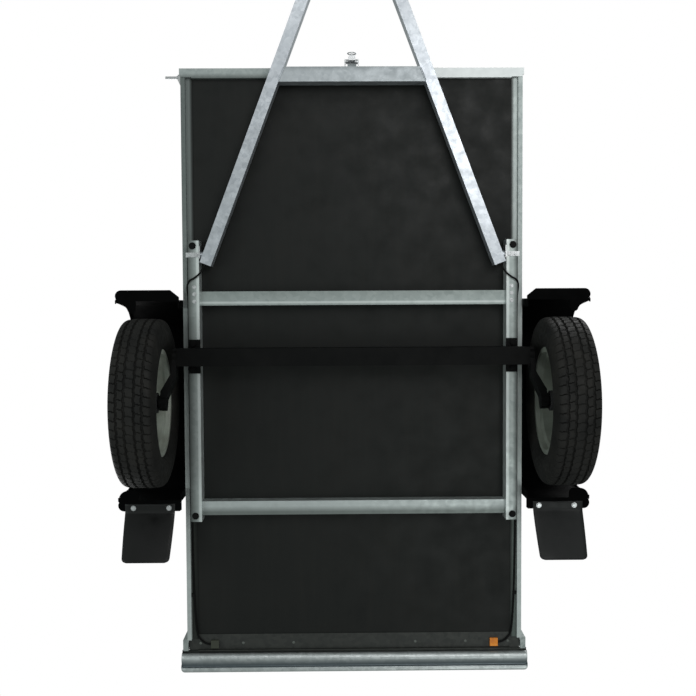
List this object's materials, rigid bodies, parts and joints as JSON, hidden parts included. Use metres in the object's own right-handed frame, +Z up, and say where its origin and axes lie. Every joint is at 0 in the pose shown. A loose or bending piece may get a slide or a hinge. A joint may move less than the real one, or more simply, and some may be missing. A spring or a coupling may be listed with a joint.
{
  "type": "box trailer",
  "caption": "Single-axle tipping box trailer with V drawbar, ball coupling, folding end boards, torsion suspension, mudguards and rear lamp bar.",
  "frame": {"origin": "on the ground below the middle of the overall length and width", "axes": "+X to the trailer's right-hand side, +Y forward to the coupling, +Z up"},
  "size_m": [1.612, 3.0514, 0.8],
  "materials": {
    "film_faced_ply": "satin phenolic film over plywood",
    "galvanised_section": "galvanised",
    "galvanised_sheet": "galvanised",
    "dark_sill": "satin",
    "lamp_bar_zinc": "galvanised",
    "galvanised_chassis": "galvanised",
    "bright_zinc": "zinc plated",
    "black_axle": "satin",
    "cord_rubber": "matte",
    "rim_paint": "satin",
    "tyre_rubber": "matte",
    "hub_iron": "matte",
    "bearing_steel": "ground",
    "guard_plastic": "matte",
    "flap_rubber": "matte",
    "drawbar_zinc": "galvanised",
    "coupling_zinc": "zinc plated",
    "handle_plastic": "matte",
    "cable_black": "matte",
    "clip_black": "matte",
    "red_lens": "gloss",
    "amber_lens": "gloss"
  },
  "bodies": {
    "chassis": {"axle_mounts": "black_axle", "axle_tube": "black_axle", "cable_clips": "clip_black", "chassis_bolts": "bright_zinc", "chassis_rails": "galvanised_chassis", "corner_posts": "galvanised_section", "crossmembers": "galvanised_chassis", "floor_panel": "film_faced_ply", "floor_screws": "bright_zinc", "front_sill": "galvanised_section", "lamp_bar": "lamp_bar_zinc", "mudflap_bolts": "bright_zinc", "mudflaps": "flap_rubber", "mudguard_left": "guard_plastic", "mudguard_right": "guard_plastic", "pin_plate": "bright_zinc", "rear_sill": "dark_sill", "rubber_cords": "cord_rubber", "side_panel_left": "galvanised_sheet", "side_panel_right": "galvanised_sheet", "side_rails": "galvanised_section", "tail_lamp_amber_lenses": "amber_lens", "tail_lamp_housings": "clip_black", "tail_lamp_red_lenses": "red_lens", "tilt_brackets": "bright_zinc", "tilt_latch_bracket": "bright_zinc", "tilt_pivot_bolts": "bright_zinc", "wiring_loom": "cable_black"},
    "front_board": {"front_board": "galvanised_sheet"},
    "tailboard": {"tailboard": "galvanised_sheet"},
    "front_latch_left": {"front_latch_left": "bright_zinc"},
    "front_latch_right": {"front_latch_right": "bright_zinc"},
    "tail_latch_left": {"tail_latch_left": "bright_zinc"},
    "tail_latch_right": {"tail_latch_right": "bright_zinc"},
    "front_board_pin": {"front_board_pin": "bright_zinc"},
    "drawbar": {"drawbar_beam_left": "drawbar_zinc", "drawbar_beam_right": "drawbar_zinc", "drawbar_crossbar": "drawbar_zinc", "drawbar_nose": "drawbar_zinc", "coupling_head": "coupling_zinc", "coupling_bolts": "bright_zinc", "safety_eye": "drawbar_zinc"},
    "coupling_handle": {"coupling_handle": "handle_plastic"},
    "coupling_jaw": {"coupling_jaw": "bearing_steel"},
    "tilt_latch": {"tilt_latch_hook": "bright_zinc"},
    "latch_ring": {"tilt_latch_ring": "bright_zinc"},
    "swing_arm_left": {"swing_arm_left": "black_axle"},
    "swing_arm_right": {"swing_arm_right": "black_axle"},
    "wheel_left": {"tyre_left": "tyre_rubber", "rim_left": "rim_paint", "hub_left": "hub_iron", "bearings_left": "bearing_steel", "wheel_bolts_left": "bright_zinc"},
    "wheel_right": {"tyre_right": "tyre_rubber", "rim_right": "rim_paint", "hub_right": "hub_iron", "bearings_right": "bearing_steel", "wheel_bolts_right": "bright_zinc"}
  },
  "joints": [
    {"name": "drawbar_tilt", "type": "hinge", "parent": "chassis", "child": "drawbar", "pos_m": [0, -0.06121, 0.392], "axis": [-1, 0, 0], "range_deg": [0, 29], "deforming": ["wiring_loom"]},
    {"name": "tilt_latch_swing", "type": "hinge", "parent": "chassis", "child": "tilt_latch", "pos_m": [0, 0.60228, 0.431], "axis": [1, 0, 0], "range_deg": [0, 60]},
    {"name": "latch_ring_swing", "type": "hinge", "parent": "tilt_latch", "child": "latch_ring", "pos_m": [0, 0.62228, 0.413], "axis": [1, 0, 0], "range_deg": [-20, 35]},
    {"name": "front_board_fold", "type": "hinge", "parent": "chassis", "child": "front_board", "pos_m": [0, 0.57228, 0.45], "axis": [-1, 0, 0], "range_deg": [0, 90]},
    {"name": "tailboard_fold", "type": "hinge", "parent": "chassis", "child": "tailboard", "pos_m": [0, -1.44772, 0.45], "axis": [1, 0, 0], "range_deg": [0, 90]},
    {"name": "front_latch_left_turn", "type": "hinge", "parent": "front_board", "child": "front_latch_left", "pos_m": [-0.55, 0.57228, 0.71], "axis": [0, 1, 0], "range_deg": [0, 90]},
    {"name": "front_latch_right_turn", "type": "hinge", "parent": "front_board", "child": "front_latch_right", "pos_m": [0.55, 0.57228, 0.71], "axis": [0, -1, 0], "range_deg": [0, 90]},
    {"name": "tail_latch_left_turn", "type": "hinge", "parent": "tailboard", "child": "tail_latch_left", "pos_m": [-0.55, -1.44772, 0.71], "axis": [0, 1, 0], "range_deg": [0, 90]},
    {"name": "tail_latch_right_turn", "type": "hinge", "parent": "tailboard", "child": "tail_latch_right", "pos_m": [0.55, -1.44772, 0.71], "axis": [0, -1, 0], "range_deg": [0, 90]},
    {"name": "front_board_pin_pull", "type": "slide", "parent": "chassis", "child": "front_board_pin", "axis": [1, 0, 0], "range_m": [0, 0.045]},
    {"name": "coupling_handle_lift", "type": "hinge", "parent": "drawbar", "child": "coupling_handle", "pos_m": [0, 1.43022, 0.438], "axis": [-1, 0, 0], "range_deg": [0, 50]},
    {"name": "coupling_jaw_swing", "type": "hinge", "parent": "drawbar", "child": "coupling_jaw", "pos_m": [0, 1.45472, 0.389], "axis": [-1, 0, 0], "range_deg": [0, 15]},
    {"name": "suspension_left", "type": "hinge", "parent": "chassis", "child": "swing_arm_left", "pos_m": [-0.6, -0.40821, 0.338], "axis": [-1, 0, 0], "range_deg": [-15, 18], "stiffness_Nm_per_rad": 620, "springref_deg": -12.61},
    {"name": "suspension_right", "type": "hinge", "parent": "chassis", "child": "swing_arm_right", "pos_m": [0.6, -0.40821, 0.338], "axis": [-1, 0, 0], "range_deg": [-15, 18], "stiffness_Nm_per_rad": 620, "springref_deg": -12.61},
    {"name": "wheel_left_spin", "type": "hinge", "parent": "swing_arm_left", "child": "wheel_left", "pos_m": [-0.694, -0.55772, 0.281], "axis": [-1, 0, 0], "continuous": true},
    {"name": "wheel_right_spin", "type": "hinge", "parent": "swing_arm_right", "child": "wheel_right", "pos_m": [0.694, -0.55772, 0.281], "axis": [-1, 0, 0], "continuous": true}
  ],
  "couplings": [
    {"joint": "coupling_jaw_swing", "follows": "coupling_handle_lift", "ratio": 0.28}
  ]
}
